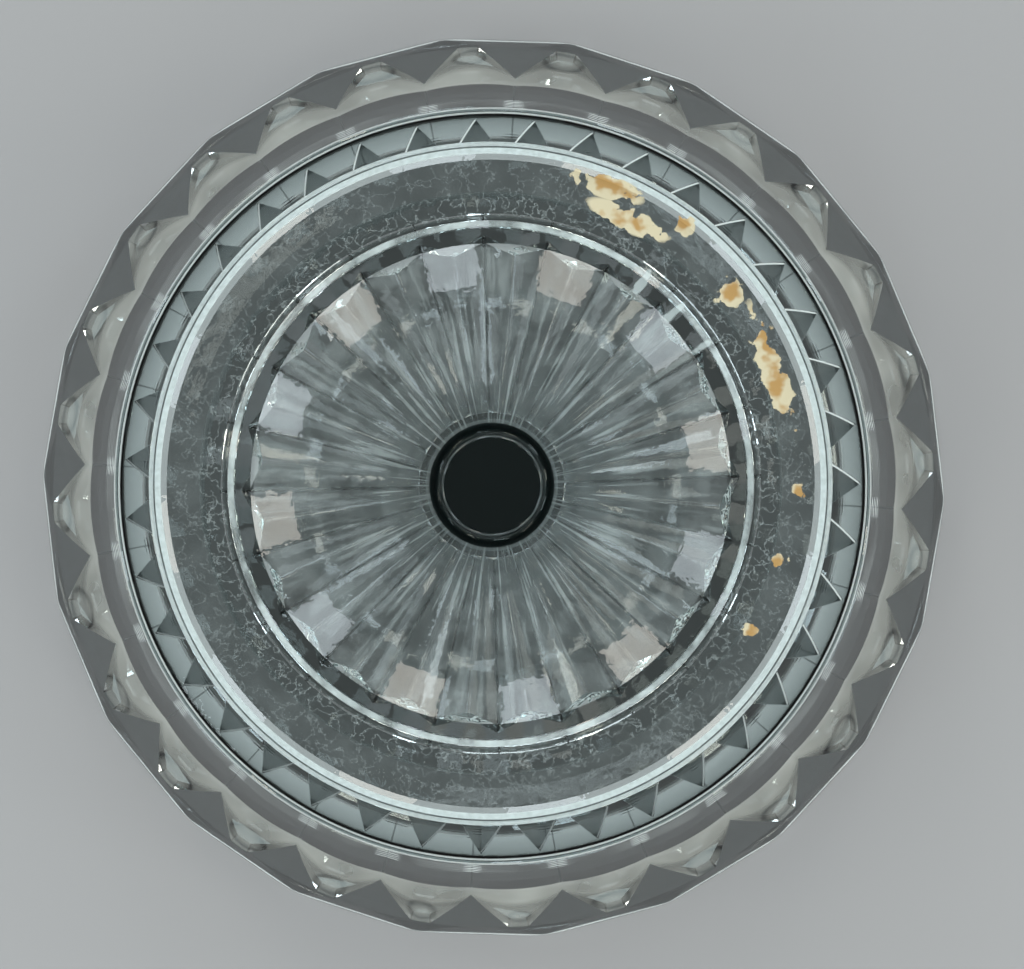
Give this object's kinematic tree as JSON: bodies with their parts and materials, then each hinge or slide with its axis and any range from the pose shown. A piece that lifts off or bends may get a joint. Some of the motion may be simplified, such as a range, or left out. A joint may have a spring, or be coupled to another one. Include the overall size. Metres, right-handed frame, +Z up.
{
  "type": "pedestal compote",
  "caption": "Footed serving bowl of clear pressed glass: a flared bowl with a flat-sided rim, a toothed belt and a star-cut underside, fused to a hollow fluted pedestal.",
  "frame": {"origin": "on the axis, at the height of the surface that the foot stands on", "axes": "+Z up along the axis, from the foot to the rim; +X is the right of the picture and -Y is its top"},
  "size_m": [0.21, 0.2092, 0.127],
  "materials": {
    "glass": "clear pressed glass with a faint cool tint, worn on the ring it stands on"
  },
  "bodies": {
    "root": {"bowl": "glass", "joining_wafer": "glass", "pedestal": "glass"}
  },
  "joints": []
}
